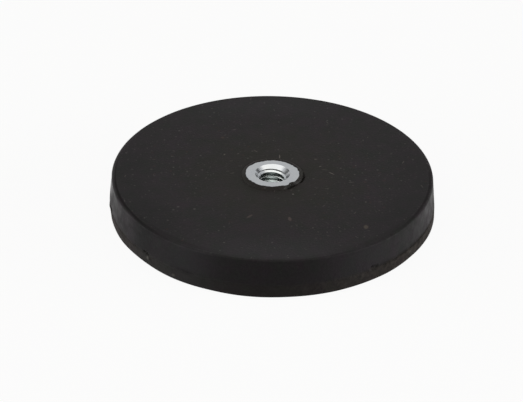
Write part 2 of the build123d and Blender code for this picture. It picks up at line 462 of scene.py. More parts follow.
# Pockets: the room of the plate, the bush and the magnets
plateRoom = addNode(coatTree, "GeometryNodeObjectInfo", {}, {"Object": given["pocketProfile"]})
plateRoom = addNode(coatTree, "GeometryNodeGroup", {"node_tree": turnedTree},
                    {"Geometry": plateRoom.outputs["Geometry"], "segments": roomSegments["plate"]})
magnetRoom = addNode(coatTree, "GeometryNodeObjectInfo", {}, {"Object": given["magnetProfile"]})
magnetRoom = addNode(coatTree, "GeometryNodeGroup", {"node_tree": turnedTree},
                     {"Geometry": magnetRoom.outputs["Geometry"], "segments": roomSegments["magnet"]})
ring = addNode(coatTree, "GeometryNodeMeshCircle", {},
               {"Vertices": given["magnetCount"], "Radius": given["magnetCircle"]})
magnetRooms = addNode(coatTree, "GeometryNodeInstanceOnPoints", {},
                      {"Points": ring, "Instance": magnetRoom})
magnetRooms = addNode(coatTree, "GeometryNodeRealizeInstances", {}, {"Geometry": magnetRooms})
cut = addNode(coatTree, "GeometryNodeMeshBoolean", {"operation": "DIFFERENCE", "solver": "MANIFOLD"},
              {"Mesh 1": filmed, "Mesh 2": [plateRoom, magnetRooms]})
dressTree(coatTree, cut, coat["crispAngle"], given["finish"])

# Speck: 1 inside a small ellipse that lies flat at a place, turned about Z
speckCore = 0.45                # share of the ellipse that is full, the rest fades
speckTree = bpy.data.node_groups.new("speck", "ShaderNodeTree")
speckTree.interface.new_socket("from", in_out="INPUT", socket_type="NodeSocketVector")
for label in ("angle", "halfLength", "halfWidth"):
    speckTree.interface.new_socket(label, in_out="INPUT", socket_type="NodeSocketFloat")
speckTree.interface.new_socket("share", in_out="OUTPUT", socket_type="NodeSocketFloat")
given = speckTree.nodes.new("NodeGroupInput").outputs
back = addNode(speckTree, "ShaderNodeMath", {"operation": "MULTIPLY"}, {0: given["angle"], 1: -1.0})
local = addNode(speckTree, "ShaderNodeVectorRotate", {"rotation_type": "Z_AXIS"},
                {"Vector": given["from"], "Angle": back})
reach = addNode(speckTree, "ShaderNodeCombineXYZ", {},
                {"X": given["halfLength"], "Y": given["halfWidth"], "Z": given["halfWidth"]})
local = addNode(speckTree, "ShaderNodeVectorMath", {"operation": "DIVIDE"}, {0: local, 1: reach})
away = addNode(speckTree, "ShaderNodeVectorMath", {"operation": "LENGTH"}, {0: local})
share = addNode(speckTree, "ShaderNodeMapRange", smoothly,
                {"Value": away, "From Min": speckCore, "From Max": 1.0, **falling})
addNode(speckTree, "NodeGroupOutput", {}, {"share": share})

# Moulded nitrile rubber: near black and dull, a soft broad gloss with a fine mould grain, and on it
# pale dust, lint and a few brown crumbs that the static of handling has drawn
rubberLook = {
    "roughness": 0.54,
    "specularLevel": 0.08,
    "grainSize": 0.45,          # the real grain is about 0.1, drawn as coarse as it needs to show
    "grainHeight": 0.04,
    "grainStrength": 0.4,
    "cloudSize": 3.6,
    "cloudSheen": 0.03,         # roughness up and down with the clouds
    "smearSize": 2.4,           # hand smears on the side
    "smearSheen": 0.09,         # roughness up and down with the smears
    "flatness": 0.42,           # added roughness under the parting line, where the flash was trimmed
    "handledGloss": 0.14,       # taken off the roughness where hands have held it
    "handLow": 4.6,             # hands polish the side from the first height up, fully from the second
    "handHigh": 7.6,
    "sideFrom": 32.0,           # what is further out than this belongs to the side
    "bloomBegins": 22.0,        # the bloom near the rim grows between these two radii
    "bloomFull": 29.0,
    "bloomFades": 31.1,         # and is gone between these two
    "bloomGone": 32.1,
    "driftSize": 8.0,
    "dustFrom": 8.42,           # dust lies above this height
    "heapCore": 0.3,            # share of a heap's reach where it is full
    "rimRadius": 32.0,          # middle of the painted dark line of shade round the rim
    "rimFrom": 7.8,             # it is above this height
    "rimFull": 0.1,             # and from its middle it is full up to here, and gone there
    "rimGone": 0.42,
    "rimPaintedShade": 0.4,             # share of the painted shade along the rim
    "rimDullLow": 7.3,          # the rim's highlight begins between these two heights
    "rimDullHigh": 8.0,
    "hollowShadeFull": 0.1,            # painted shade in the parting line and the dents is full up to here
    "hollowShadeGone": 0.9,
    "shadedDent": 0.2,           # dents deeper than this get painted shade
    "crumbFull": 0.1,
    "crumbGone": 0.6,
    "bandLow": 2.4,             # the dull lower band fades between these two heights
    "bandHigh": 3.7,
    "bandCast": 0.2,
    "crustSize": 0.9,           # brownish crust on the dull stretches of that band
    "crustShare": 0.55,
    "crustHeight": 0.05,
    "crustStrength": 0.35,
}
# In all these lists: angle, half width, share
dullStretches = [(-30, 80, 1.0), (-168, 50, 0.75)]                  # of the lower band
hollowShadeStretches = [(-32, 48, 0.75), (2, 16, 0.6), (-169, 18, 0.5), (-121, 6, 0.3)]      # of the painted shade in the parting line
rimShadeStretches = [(200, 42, 1.0), (-16, 40, 0.7)]                     # where the rim is painted dark as shade
dullRims = [(-60, 14, 0.5), (-40, 16, 0.3), (-134, 24, 0.25)]       # where it has no highlight
paintedSideShade = [(-141, 10, 1.0)]                                     # where the side is painted darker, as painted shade
# where the side is painted lighter, as painted light
paintedSideLight = [(-119, 16, 1.0), (-58, 22, 0.6)]
shinySides = [(-172, 50, 1.0), (-180, 9, 2.0), (-8, 40, 0.7)]       # rubbed smooth near the top edge
thinBloom = [(-142, 28, 0.9), (180, 50, 0.7), (-30, 30, 0.8), (8, 40, 0.7)]
thickBloom = [(-90, 40, 1.0), (95, 50, 0.7)]
rubber, tree, shader, here = newFinish("mouldedNitrileRubber", 0.0, rubberLook["roughness"],
                                       rubberLook["specularLevel"])
axes = addNode(tree, "ShaderNodeSeparateXYZ", {}, {"Vector": here}).outputs
flat = addNode(tree, "ShaderNodeVectorMath", {"operation": "MULTIPLY"}, {0: here, 1: (1, 1, 0)})
radius = addNode(tree, "ShaderNodeVectorMath", {"operation": "LENGTH"}, {0: flat}).outputs["Value"]
angle = addNode(tree, "ShaderNodeMath", {"operation": "ARCTAN2"}, {0: axes["Y"], 1: axes["X"]})
angle = addNode(tree, "ShaderNodeMath", {"operation": "DEGREES"}, {0: angle})
cloud = addNode(tree, "ShaderNodeTexNoise", {}, {
    "Vector": here, "Scale": 1 / rubberLook["cloudSize"], "Detail": 4.0, "Roughness": 0.65}).outputs["Fac"]
cloud = addNode(tree, "ShaderNodeMapRange", {}, {"Value": cloud, **noiseSpan})
grain = addNode(tree, "ShaderNodeTexNoise", {}, {
    "Vector": here, "Scale": 1 / rubberLook["grainSize"], "Detail": 2.0, "Roughness": 0.7}).outputs["Fac"]
grain = addNode(tree, "ShaderNodeMapRange", {}, {"Value": grain, "From Min": 0.25, "From Max": 0.75})
colour = addNode(tree, "ShaderNodeMix", {"data_type": "RGBA"},
                 {"Factor": cloud, "A": linearColour("#140f12"), "B": linearColour("#101110")})
worn = addNode(tree, "ShaderNodeMix", {"data_type": "RGBA"},
               {"Factor": cloud, "A": linearColour("#1d171c"), "B": linearColour("#191a18")})
colour = addNode(tree, "ShaderNodeMix", {"data_type": "RGBA"}, {"Factor": grain, "A": colour, "B": worn})


def tinted(tree, colour, share, strength, hexText):  # lays one more colour over the ones before
    share = addNode(tree, "ShaderNodeMath", {"operation": "MULTIPLY"}, {0: share, 1: strength})
    return addNode(tree, "ShaderNodeMix", {"data_type": "RGBA"},
                   {"Factor": share, "A": colour, "B": linearColour(hexText)})


def scattered(tree, flat, cell, chance, halfLength, halfWidth):
    # specks at random places, one at most in each cell of that size; chance is the share of full cells
    place = addNode(tree, "ShaderNodeTexVoronoi", {"voronoi_dimensions": "2D"},
                    {"Vector": flat, "Scale": 1 / cell}).outputs
    offset = addNode(tree, "ShaderNodeVectorMath", {"operation": "SUBTRACT"},
                     {0: flat, 1: place["Position"]})
    random = addNode(tree, "ShaderNodeSeparateColor", {}, {"Color": place["Color"]}).outputs
    turn = addNode(tree, "ShaderNodeMath", {"operation": "MULTIPLY"}, {0: random["Green"], 1: 2 * pi})
    size = addNode(tree, "ShaderNodeMapRange", {}, {"Value": random["Blue"], "To Min": 0.5, "To Max": 1.0})
    long = addNode(tree, "ShaderNodeMath", {"operation": "MULTIPLY"}, {0: size, 1: halfLength})
    wide = addNode(tree, "ShaderNodeMath", {"operation": "MULTIPLY"}, {0: size, 1: halfWidth})
    speck = addNode(tree, "ShaderNodeGroup", {"node_tree": speckTree},
                    {"from": offset, "angle": turn, "halfLength": long, "halfWidth": wide})
    held = addNode(tree, "ShaderNodeMath", {"operation": "LESS_THAN"}, {0: random["Red"], 1: chance})
    return addNode(tree, "ShaderNodeMath", {"operation": "MULTIPLY"}, {0: speck, 1: held})


# Round the bush the bloom has an olive cast, further out a bluish one
oliveCast = {"patchSize": 5.0, "raggedness": 20.0, "inner": 16.0, "outer": 34.0, "strength": 0.35}
oliveEdge = addNode(tree, "ShaderNodeTexNoise", {},
                    {"Vector": flat, "Scale": 1 / oliveCast["patchSize"], "Detail": 2.0}).outputs["Fac"]
oliveEdge = addNode(tree, "ShaderNodeMath", {"operation": "MULTIPLY_ADD"},
                    {0: oliveEdge, 1: oliveCast["raggedness"], 2: radius})
olive = addNode(tree, "ShaderNodeMapRange", smoothly,
                {"Value": oliveEdge, "From Min": oliveCast["inner"], "From Max": oliveCast["outer"],
                 **falling})
colour = tinted(tree, colour, olive, oliveCast["strength"], "#19180f")

# Towards the rim the bloom is thick along the front lip and rubbed thin at the sides
bloomKinds = [(thinBloom, 0.5, "#050505"), (thickBloom, 0.2, "#303032")]       # where, strength, colour
nearRim = addNode(tree, "ShaderNodeMapRange", smoothly,
                  {"Value": radius, "From Min": rubberLook["bloomBegins"],
                   "From Max": rubberLook["bloomFull"]})
upward = addNode(tree, "ShaderNodeMath", {"operation": "GREATER_THAN"},
                 {0: axes["Z"], 1: coat["topFrom"]})
nearRim = addNode(tree, "ShaderNodeMath", {"operation": "MULTIPLY"}, {0: nearRim, 1: upward})
offEdge = addNode(tree, "ShaderNodeMapRange", smoothly,
                  {"Value": radius, "From Min": rubberLook["bloomFades"],
                   "From Max": rubberLook["bloomGone"], **falling})
nearRim = addNode(tree, "ShaderNodeMath", {"operation": "MULTIPLY"}, {0: nearRim, 1: offEdge})
for windows, strength, hexText in bloomKinds:
    bloom = addNode(tree, "ShaderNodeMath", {"operation": "MULTIPLY"},
                    {0: nearRim, 1: sumOfWindows(tree, angle, windows)})
    colour = tinted(tree, colour, bloom, strength, hexText)

# Dust lies in drifts, thickest to the right of the bush and near the left rim
dustHeaps = [(18, 3, 15), (-18, 2, 14), (-4, 9, 8)]                 # x, y, reach
# cell, chance, half length, half width, strength, colour
dustKinds = [
    (1.2, 0.5, 0.27, 0.22, 0.03, "#a8a4a0"), (2.6, 0.55, 0.33, 0.27, 0.055, "#b4b0ab"),
    (3.1, 0.4, 0.5, 0.33, 0.018, "#9a5a48"), (5.0, 0.4, 0.8, 0.14, 0.08, "#b4aca6"),
]
# x, y, angle, half length, half width, strength, colour
placedMarks = [
    (18.7, -19.4, 90, 0.95, 0.6, 0.08, "#a89a8a"), (-4.4, -16.2, 50, 1.1, 0.38, 0.06, "#aa9590"),
    (3.6, -16.9, 100, 1.0, 0.45, 0.08, "#aa9590"), (1.4, 7.3, 92, 0.95, 0.14, 0.16, "#b4aca6"),
    (12.0, 1.0, 140, 0.9, 0.16, 0.15, "#b4aca6"), (8.8, 6.5, 20, 0.5, 0.13, 0.11, "#b4aca6"),
    (9.7, 3.7, 30, 0.4, 0.15, 0.15, "#a09a94"), (-10.4, 14.6, 0, 0.5, 0.5, 0.03, "#a88a70"),
    (11.2, 22.4, 0, 0.3, 0.3, 0.035, "#d0ccc8"), (-18.7, -13.1, 0, 0.35, 0.35, 0.04, "#d0ccc8"),
    (-15.4, -13.8, 0, 0.35, 0.35, 0.045, "#d0ccc8"), (4.2, -7.4, 0, 0.3, 0.3, 0.08, "#d0ccc8"),
    (-9.9, 7.7, 70, 0.4, 0.24, 0.07, "#c8c2b4"),
]
drift = addNode(tree, "ShaderNodeTexNoise", {},
                {"Vector": flat, "Scale": 1 / rubberLook["driftSize"], "Detail": 1.0}).outputs["Fac"]
drift = addNode(tree, "ShaderNodeMapRange", {},
                {"Value": drift, "From Min": 0.4, "From Max": 0.6, "To Min": 0.15})
for x, y, reach in dustHeaps:
    heap = spotShare(tree, flat, (x, y, 0), reach * rubberLook["heapCore"], reach)
    drift = addNode(tree, "ShaderNodeMath", {"operation": "MAXIMUM"}, {0: drift, 1: heap})
onTop = addNode(tree, "ShaderNodeMath", {"operation": "GREATER_THAN"},
                {0: axes["Z"], 1: rubberLook["dustFrom"]})
dusty = addNode(tree, "ShaderNodeMath", {"operation": "MULTIPLY"}, {0: drift, 1: onTop})
for cell, chance, halfLength, halfWidth, strength, hexText in dustKinds:
    mark = scattered(tree, flat, cell, chance, halfLength, halfWidth)
    mark = addNode(tree, "ShaderNodeMath", {"operation": "MULTIPLY"}, {0: mark, 1: dusty})
    colour = tinted(tree, colour, mark, strength, hexText)
for x, y, turn, halfLength, halfWidth, strength, hexText in placedMarks:
    offset = addNode(tree, "ShaderNodeVectorMath", {"operation": "SUBTRACT"},
                     {0: here, 1: (x, y, coat["bodyHeight"])})
    mark = addNode(tree, "ShaderNodeGroup", {"node_tree": speckTree},
                   {"from": offset, "angle": radians(turn),
                    "halfLength": halfLength, "halfWidth": halfWidth})
    colour = tinted(tree, colour, mark, strength, hexText)

# Rim, side, parting line and dents: painted shade along the rim, in the parting line and in the dents, and
# painted light and shade on the side
sideShadingKinds = [(paintedSideShade, 0.75, "#050505"), (paintedSideLight, 0.2, "#303032")]  # where, strength, colour
crumbs = [                                             # angle, height, strength
    (-137.9, 2.0, 0.5), (-125.6, 1.0, 0.4), (-160, 5.4, 0.12), (-33, 2.0, 0.4),
]
rim = addNode(tree, "ShaderNodeMath", {"operation": "SUBTRACT"}, {0: radius, 1: rubberLook["rimRadius"]})
rim = addNode(tree, "ShaderNodeMath", {"operation": "ABSOLUTE"}, {0: rim})
rim = addNode(tree, "ShaderNodeMapRange", smoothly,
              {"Value": rim, "From Min": rubberLook["rimFull"], "From Max": rubberLook["rimGone"],
               **falling})
upper = addNode(tree, "ShaderNodeMath", {"operation": "GREATER_THAN"},
                {0: axes["Z"], 1: rubberLook["rimFrom"]})
rim = addNode(tree, "ShaderNodeMath", {"operation": "MULTIPLY"}, {0: rim, 1: upper})
rim = addNode(tree, "ShaderNodeMath", {"operation": "MULTIPLY"},
              {0: rim, 1: sumOfWindows(tree, angle, rimShadeStretches)})
# painted shade: a dark line along the rim, on the left and right
colour = tinted(tree, colour, rim, rubberLook["rimPaintedShade"], "#050505")
fromLine = addNode(tree, "ShaderNodeMath", {"operation": "SUBTRACT"},
                   {0: axes["Z"], 1: coat["partingHeight"]})
fromLine = addNode(tree, "ShaderNodeMath", {"operation": "ABSOLUTE"}, {0: fromLine})
hollowShade = addNode(tree, "ShaderNodeMapRange", smoothly,
               {"Value": fromLine, "From Min": rubberLook["hollowShadeFull"],
                "From Max": rubberLook["hollowShadeGone"], **falling})
onSide = addNode(tree, "ShaderNodeMath", {"operation": "GREATER_THAN"},
                 {0: radius, 1: rubberLook["sideFrom"]})
# painted light and painted shade on the side, in stretches round it
for sideShadingWindows, strength, hexText in sideShadingKinds:
    sideShading = addNode(tree, "ShaderNodeMath", {"operation": "MULTIPLY"},
                     {0: sumOfWindows(tree, angle, sideShadingWindows), 1: onSide})
    colour = tinted(tree, colour, sideShading, strength, hexText)
hollowShade = addNode(tree, "ShaderNodeMath", {"operation": "MULTIPLY"}, {0: hollowShade, 1: onSide})
hollowShade = addNode(tree, "ShaderNodeMath", {"operation": "MULTIPLY"},
               {0: hollowShade, 1: sumOfWindows(tree, angle, hollowShadeStretches)})
for dentAngle, dentHeight, reach, depth in sideDents:
    if depth > rubberLook["shadedDent"]:
        inDent = spotShare(tree, here, sidePlace(dentAngle, dentHeight), rubberLook["hollowShadeFull"],
                           reach, depth * 2)
        hollowShade = addNode(tree, "ShaderNodeMath", {"operation": "MAXIMUM"}, {0: hollowShade, 1: inDent})
# painted shade: the parting line and the deeper dents are painted near black
colour = tinted(tree, colour, hollowShade, 1.0, "#040404")
for crumbAngle, crumbHeight, strength in crumbs:
    onCrumb = spotShare(tree, here, sidePlace(crumbAngle, crumbHeight), rubberLook["crumbFull"],
                        rubberLook["crumbGone"])
    colour = tinted(tree, colour, onCrumb, strength, "#5c5a56")

# Lower band: an olive cast all round, and along its dull stretches a brownish crust
below = addNode(tree, "ShaderNodeMapRange", smoothly,
                {"Value": axes["Z"], "From Min": rubberLook["bandLow"],
                 "From Max": rubberLook["bandHigh"], **falling})
below = addNode(tree, "ShaderNodeMath", {"operation": "MULTIPLY"}, {0: below, 1: onSide})
colour = tinted(tree, colour, below, rubberLook["bandCast"], "#19180f")
below = addNode(tree, "ShaderNodeMath", {"operation": "MULTIPLY"},
                {0: below, 1: sumOfWindows(tree, angle, dullStretches)})
crumbly = addNode(tree, "ShaderNodeTexNoise", {},
                  {"Vector": here, "Scale": 1 / rubberLook["crustSize"], "Detail": 3.0}).outputs["Fac"]
crumbly = addNode(tree, "ShaderNodeMapRange", {}, {"Value": crumbly, "From Min": 0.25, "From Max": 0.7})
brown = addNode(tree, "ShaderNodeMath", {"operation": "MULTIPLY"}, {0: below, 1: crumbly})
colour = tinted(tree, colour, brown, rubberLook["crustShare"], "#3a3532")
tree.links.new(colour.outputs["Result"], shader.inputs["Base Color"])

# Gloss: clouds and smears, smoother where hands have held it, dull in the parting line and the dents, which
# are painted shaded, and on the lower band
smear = addNode(tree, "ShaderNodeTexNoise", {}, {
    "Vector": here, "Scale": 1 / rubberLook["smearSize"], "Detail": 3.0, "Distortion": 0.6}).outputs["Fac"]
smear = addNode(tree, "ShaderNodeMapRange", {},
                {"Value": smear, "From Min": 0.35, "From Max": 0.65,
                 "To Min": -rubberLook["smearSheen"], "To Max": rubberLook["smearSheen"]})
smear = addNode(tree, "ShaderNodeMath", {"operation": "MULTIPLY"}, {0: smear, 1: onSide})
sheen = addNode(tree, "ShaderNodeMapRange", {},
                {"Value": cloud, "To Min": rubberLook["roughness"] - rubberLook["cloudSheen"],
                 "To Max": rubberLook["roughness"] + rubberLook["cloudSheen"]})
sheen = addNode(tree, "ShaderNodeMath", {"operation": "ADD"}, {0: sheen, 1: smear})
handled = addNode(tree, "ShaderNodeMapRange", smoothly,
                  {"Value": axes["Z"], "From Min": rubberLook["handLow"],
                   "From Max": rubberLook["handHigh"]})
handled = addNode(tree, "ShaderNodeMath", {"operation": "MULTIPLY"}, {0: handled, 1: onSide})
handled = addNode(tree, "ShaderNodeMath", {"operation": "MULTIPLY"},
                  {0: handled, 1: sumOfWindows(tree, angle, shinySides)})
sheen = addNode(tree, "ShaderNodeMath", {"operation": "MULTIPLY_ADD"},
                {0: handled, 1: -rubberLook["handledGloss"], 2: sheen})
flatter = addNode(tree, "ShaderNodeMath", {"operation": "MAXIMUM"}, {0: below, 1: hollowShade})
flatter = addNode(tree, "ShaderNodeMath", {"operation": "MAXIMUM"}, {0: flatter, 1: rim})
dullRim = addNode(tree, "ShaderNodeMapRange", smoothly,
                  {"Value": axes["Z"], "From Min": rubberLook["rimDullLow"],
                   "From Max": rubberLook["rimDullHigh"]})
dullRim = addNode(tree, "ShaderNodeMath", {"operation": "MULTIPLY"}, {0: dullRim, 1: onSide})
dullRim = addNode(tree, "ShaderNodeMath", {"operation": "MULTIPLY"},
                  {0: dullRim, 1: sumOfWindows(tree, angle, dullRims)})
flatter = addNode(tree, "ShaderNodeMath", {"operation": "MAXIMUM"}, {0: flatter, 1: dullRim})
sheen = addNode(tree, "ShaderNodeMath", {"operation": "MULTIPLY_ADD", "use_clamp": True},
                {0: flatter, 1: rubberLook["flatness"], 2: sheen})
tree.links.new(sheen.outputs["Value"], shader.inputs["Roughness"])
bump = addNode(tree, "ShaderNodeBump", {},
               {"Height": grain, "Strength": rubberLook["grainStrength"],
                "Distance": rubberLook["grainHeight"] * metresPerMm})
bump = addNode(tree, "ShaderNodeBump", {},
               {"Height": brown, "Strength": rubberLook["crustStrength"],
                "Distance": rubberLook["crustHeight"] * metresPerMm, "Normal": bump})
tree.links.new(bump.outputs["Normal"], shader.inputs["Normal"])

# Threaded bush: a turned blank, round which the coat is moulded
bush = {
    "outerRadius": 5.6,
    "rimChamfer": 0.15,
    "countersinkRadius": 3.6,
    "boreRadius": 2.5,
    "drillTip": 2.0,
    "drillAngle": 118,
    "flangeThickness": 1.5,
    "crispAngle": 25,
}
magnetChamfer = 0.3
plateLow, plateHigh = (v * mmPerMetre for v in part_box("steel_plate"))
bushLow, bushHigh = (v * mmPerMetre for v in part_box("threaded_bush"))
magnetLow, magnetHigh = (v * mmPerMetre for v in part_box("magnet_1"))
magnetRadius = (magnetHigh.y - magnetLow.y) / 2
blankFoot = plateLow.z - bush["flangeThickness"]

coatProfile = profileObject("coatProfile", [
    (0, 0, 0, 2.6),
    (coat["floorRadius"], 0, coat["floorEdgeRadius"], 0.22),
    (coat["partingRadius"], coat["closeRowsLow"], 0, 0.06),
    (coat["partingRadius"], coat["closeRowsHigh"], 0, 0.24),
    (coat["topRadius"], coat["bodyHeight"], coat["topEdgeRadius"], 0.18),
    (coat["rollInner"], coat["bodyHeight"], 0, 2.2),
    (coat["closeRowsFrom"], coat["bodyHeight"], 0, 0.09),
    (coat["collarFoot"], coat["bodyHeight"], 0, 0.08),
    (coat["collarLip"], coat["collarTop"], 0, 0.05),
    (coat["closeRowsTo"], coat["collarTop"], 0, 1.6),
    (0, coat["collarTop"], 0, 1),
])
pocketRow = 9                   # the pockets are plain and need few rows
pocketProfile = profileObject("pocketProfile", [(x, z, 0, pocketRow) for x, z in (
    (0, bushLow.z),
    (bush["outerRadius"], bushLow.z),
    (bush["outerRadius"], blankFoot),
    (bushHigh.x, blankFoot),
    (bushHigh.x, plateLow.z),
    (plateHigh.x, plateLow.z),
    (plateHigh.x, plateHigh.z),
    (bush["outerRadius"], plateHigh.z),
    (bush["outerRadius"], bushHigh.z - bush["rimChamfer"]),
    (bush["outerRadius"] - bush["rimChamfer"], bushHigh.z),
    (0, bushHigh.z),
)])
magnetProfile = profileObject("magnetProfile", [(x, z, 0, pocketRow) for x, z in (
    (0, magnetLow.z),
    (magnetRadius - magnetChamfer, magnetLow.z),
    (magnetRadius, magnetLow.z + magnetChamfer),
    (magnetRadius, magnetHigh.z - magnetChamfer),
    (magnetRadius - magnetChamfer, magnetHigh.z),
    (magnetRadius - magnetChamfer, magnetHigh.z + coat["magnetHeadroom"]),
    (0, magnetHigh.z + coat["magnetHeadroom"]),
)])
rubberCoat = bakeTree("rubberCoat", coatProfile, coatTree, {
    **coatMarks, "magnetCircle": (magnetLow.x + magnetHigh.x) / 2, "magnetCount": magnetRing["magnetCount"],
    "pocketProfile": pocketProfile, "magnetProfile": magnetProfile, "finish": rubber})
bpy.data.objects.remove(pocketProfile)
bpy.data.objects.remove(magnetProfile)
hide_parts("rubber_coat")
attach(rubberCoat, "root")

# The bush's thread: the groove that the tap cuts
thread = {
    "segments": 192,
    "threadRadius": 3.0,
    "boreRadius": 2.5,
    "pitch": 1.0,
    "groovePoints": 96,         # along one turn
    "grooveStart": 3.4,         # height of the tap's lowest turn
    "grooveTurns": 6.0,
    "leadTurns": 1.3,           # over which the tap's first teeth reach full depth
    "phase": 220.0,
}
tooth = {
    "rootShare": 1 / 11,        # half width of the groove's root, as a share of the pitch
    "flankAngle": 30,
    "overreach": 0.06,          # the tooth starts this far inside the bore's wall
    "leadShort": 0.6,           # the tap's first tooth stands this much nearer to the axis
}
bushTree, given = newShapeTree("tappedBush", thread, [("finish", "NodeSocketMaterial")])
turnedBlank = addNode(bushTree, "GeometryNodeGroup", {"node_tree": turnedTree},
                      {"Geometry": given["Geometry"], "segments": given["segments"]})
pointCount = addNode(bushTree, "ShaderNodeMath", {"operation": "MULTIPLY"},
                     {0: given["groovePoints"], 1: given["grooveTurns"]})
turnsDone = addNode(bushTree, "ShaderNodeMath", {"operation": "DIVIDE"},
                    {0: addNode(bushTree, "GeometryNodeInputIndex"), 1: given["groovePoints"]})
leadIn = addNode(bushTree, "ShaderNodeMapRange", {},
                 {"Value": turnsDone, "From Min": 0.0, "From Max": given["leadTurns"],
                  "To Min": -tooth["leadShort"], "To Max": 0.0})
pathRadius = addNode(bushTree, "ShaderNodeMath", {"operation": "ADD"}, {0: leadIn, 1: given["boreRadius"]})
pathAngle = addNode(bushTree, "ShaderNodeMath", {"operation": "MULTIPLY_ADD"},
                    {0: turnsDone, 1: 360.0, 2: given["phase"]})
pathAngle = addNode(bushTree, "ShaderNodeMath", {"operation": "RADIANS"}, {0: pathAngle})
pathHeight = addNode(bushTree, "ShaderNodeMath", {"operation": "MULTIPLY_ADD"},
                     {0: turnsDone, 1: given["pitch"], 2: given["grooveStart"]})
pathSpot = addNode(bushTree, "ShaderNodeCombineXYZ", {}, {"X": pathRadius, "Z": pathHeight})
pathSpot = addNode(bushTree, "ShaderNodeVectorRotate", {"rotation_type": "Z_AXIS"},
                   {"Vector": pathSpot, "Angle": pathAngle})
path = addNode(bushTree, "GeometryNodePoints", {}, {"Count": pointCount, "Position": pathSpot})
path = addNode(bushTree, "GeometryNodePointsToCurves", {}, {"Points": path})
path = addNode(bushTree, "GeometryNodeSetCurveNormal", {"mode": "Z_UP"}, {"Curve": path})
grooveDepth = addNode(bushTree, "ShaderNodeMath", {"operation": "SUBTRACT"},
                      {0: given["threadRadius"], 1: given["boreRadius"]})
rootHalf = addNode(bushTree, "ShaderNodeMath", {"operation": "MULTIPLY"},
                   {0: given["pitch"], 1: tooth["rootShare"]})
mouthHalf = addNode(bushTree, "ShaderNodeMath", {"operation": "ADD"},
                    {0: grooveDepth, 1: tooth["overreach"]})
mouthHalf = addNode(bushTree, "ShaderNodeMath", {"operation": "MULTIPLY_ADD"},
                    {0: mouthHalf, 1: tan(radians(tooth["flankAngle"])), 2: rootHalf})
toothCorners = {}
for number, (deep, half, side) in enumerate(
        [(-tooth["overreach"], mouthHalf, -1.0), (grooveDepth, rootHalf, -1.0),
         (grooveDepth, rootHalf, 1.0), (-tooth["overreach"], mouthHalf, 1.0)], start=1):
    sided = addNode(bushTree, "ShaderNodeMath", {"operation": "MULTIPLY"}, {0: half, 1: side})
    corner = addNode(bushTree, "ShaderNodeCombineXYZ", {}, {"X": deep, "Y": sided})
    toothCorners["Point %d" % number] = corner
toothOutline = addNode(bushTree, "GeometryNodeCurvePrimitiveQuadrilateral", {"mode": "POINTS"},
                       toothCorners)
groove = addNode(bushTree, "GeometryNodeCurveToMesh", {},
                 {"Curve": path, "Profile Curve": toothOutline, "Fill Caps": True})
tapped = addNode(bushTree, "GeometryNodeMeshBoolean", {"operation": "DIFFERENCE", "solver": "MANIFOLD"},
                 {"Mesh 1": turnedBlank, "Mesh 2": groove})
dressTree(bushTree, tapped, bush["crispAngle"], given["finish"])

# Bright zinc plate, blue passivated, on turned free-cutting steel: a cool silver with faint turning rings,
# blotched where the plating is thin, and paler and smoother down in the bore
zincLook = {
    "ringPitch": 0.3,           # the real feed is about 0.08 a turn, drawn coarser so that it shows
    "ringHeight": 0.02,
    "ringStrength": 0.3,
    "blotchSize": 1.6,
    "roughness": 0.22,
    "boreRoughness": 0.19,
    "smoother": 0.03,           # the roughness goes this much down and up with the rings and blotches
    "rougher": 0.06,
    "boreTo": 3.7,              # radius
    "boreLow": 6.6,             # the bore's look begins between these two heights
    "boreHigh": 8.2,
}
zinc, tree, shader, here = newFinish("blueZincPlatedSteel", 1.0, zincLook["roughness"])
axes = addNode(tree, "ShaderNodeSeparateXYZ", {}, {"Vector": here}).outputs
flat = addNode(tree, "ShaderNodeVectorMath", {"operation": "MULTIPLY"}, {0: here, 1: (1, 1, 0)})
radius = addNode(tree, "ShaderNodeVectorMath", {"operation": "LENGTH"}, {0: flat})
blotch = addNode(tree, "ShaderNodeTexNoise", {}, {
    "Vector": here, "Scale": 1 / zincLook["blotchSize"], "Detail": 4.0, "Roughness": 0.65}).outputs["Fac"]
blotch = addNode(tree, "ShaderNodeMapRange", {}, {"Value": blotch, **noiseSpan})
along = addNode(tree, "ShaderNodeMath", {"operation": "ADD"}, {0: radius, 1: axes["Z"]})
rings = addNode(tree, "ShaderNodeTexNoise", {"noise_dimensions": "1D"},
                {"W": along, "Scale": 1 / zincLook["ringPitch"], "Detail": 2.0}).outputs["Fac"]
rings = addNode(tree, "ShaderNodeMapRange", {}, {"Value": rings, **noiseSpan})
colour = addNode(tree, "ShaderNodeMix", {"data_type": "RGBA"},
                 {"Factor": blotch, "A": linearColour("#a2a5a9"), "B": linearColour("#a9abac")})
depth = addNode(tree, "ShaderNodeMapRange", smoothly,
                {"Value": axes["Z"], "From Min": zincLook["boreLow"], "From Max": zincLook["boreHigh"],
                 **falling})
inBore = addNode(tree, "ShaderNodeMath", {"operation": "LESS_THAN"}, {0: radius, 1: zincLook["boreTo"]})
depth = addNode(tree, "ShaderNodeMath", {"operation": "MULTIPLY"}, {0: depth, 1: inBore})
colour = addNode(tree, "ShaderNodeMix", {"data_type": "RGBA"},
                 {"Factor": depth, "A": colour, "B": linearColour("#bec4c4")})
tree.links.new(colour.outputs["Result"], shader.inputs["Base Color"])
ringShare = addNode(tree, "ShaderNodeMix", {"data_type": "FLOAT"}, {"Factor": 0.5, "A": blotch, "B": rings})
dull = addNode(tree, "ShaderNodeMapRange", {},
               {"Value": ringShare, "To Min": zincLook["roughness"] - zincLook["smoother"],
                "To Max": zincLook["roughness"] + zincLook["rougher"]})
dull = addNode(tree, "ShaderNodeMath", {"operation": "MULTIPLY_ADD"},
               {0: depth, 1: zincLook["boreRoughness"] - zincLook["roughness"], 2: dull})
tree.links.new(dull.outputs["Value"], shader.inputs["Roughness"])
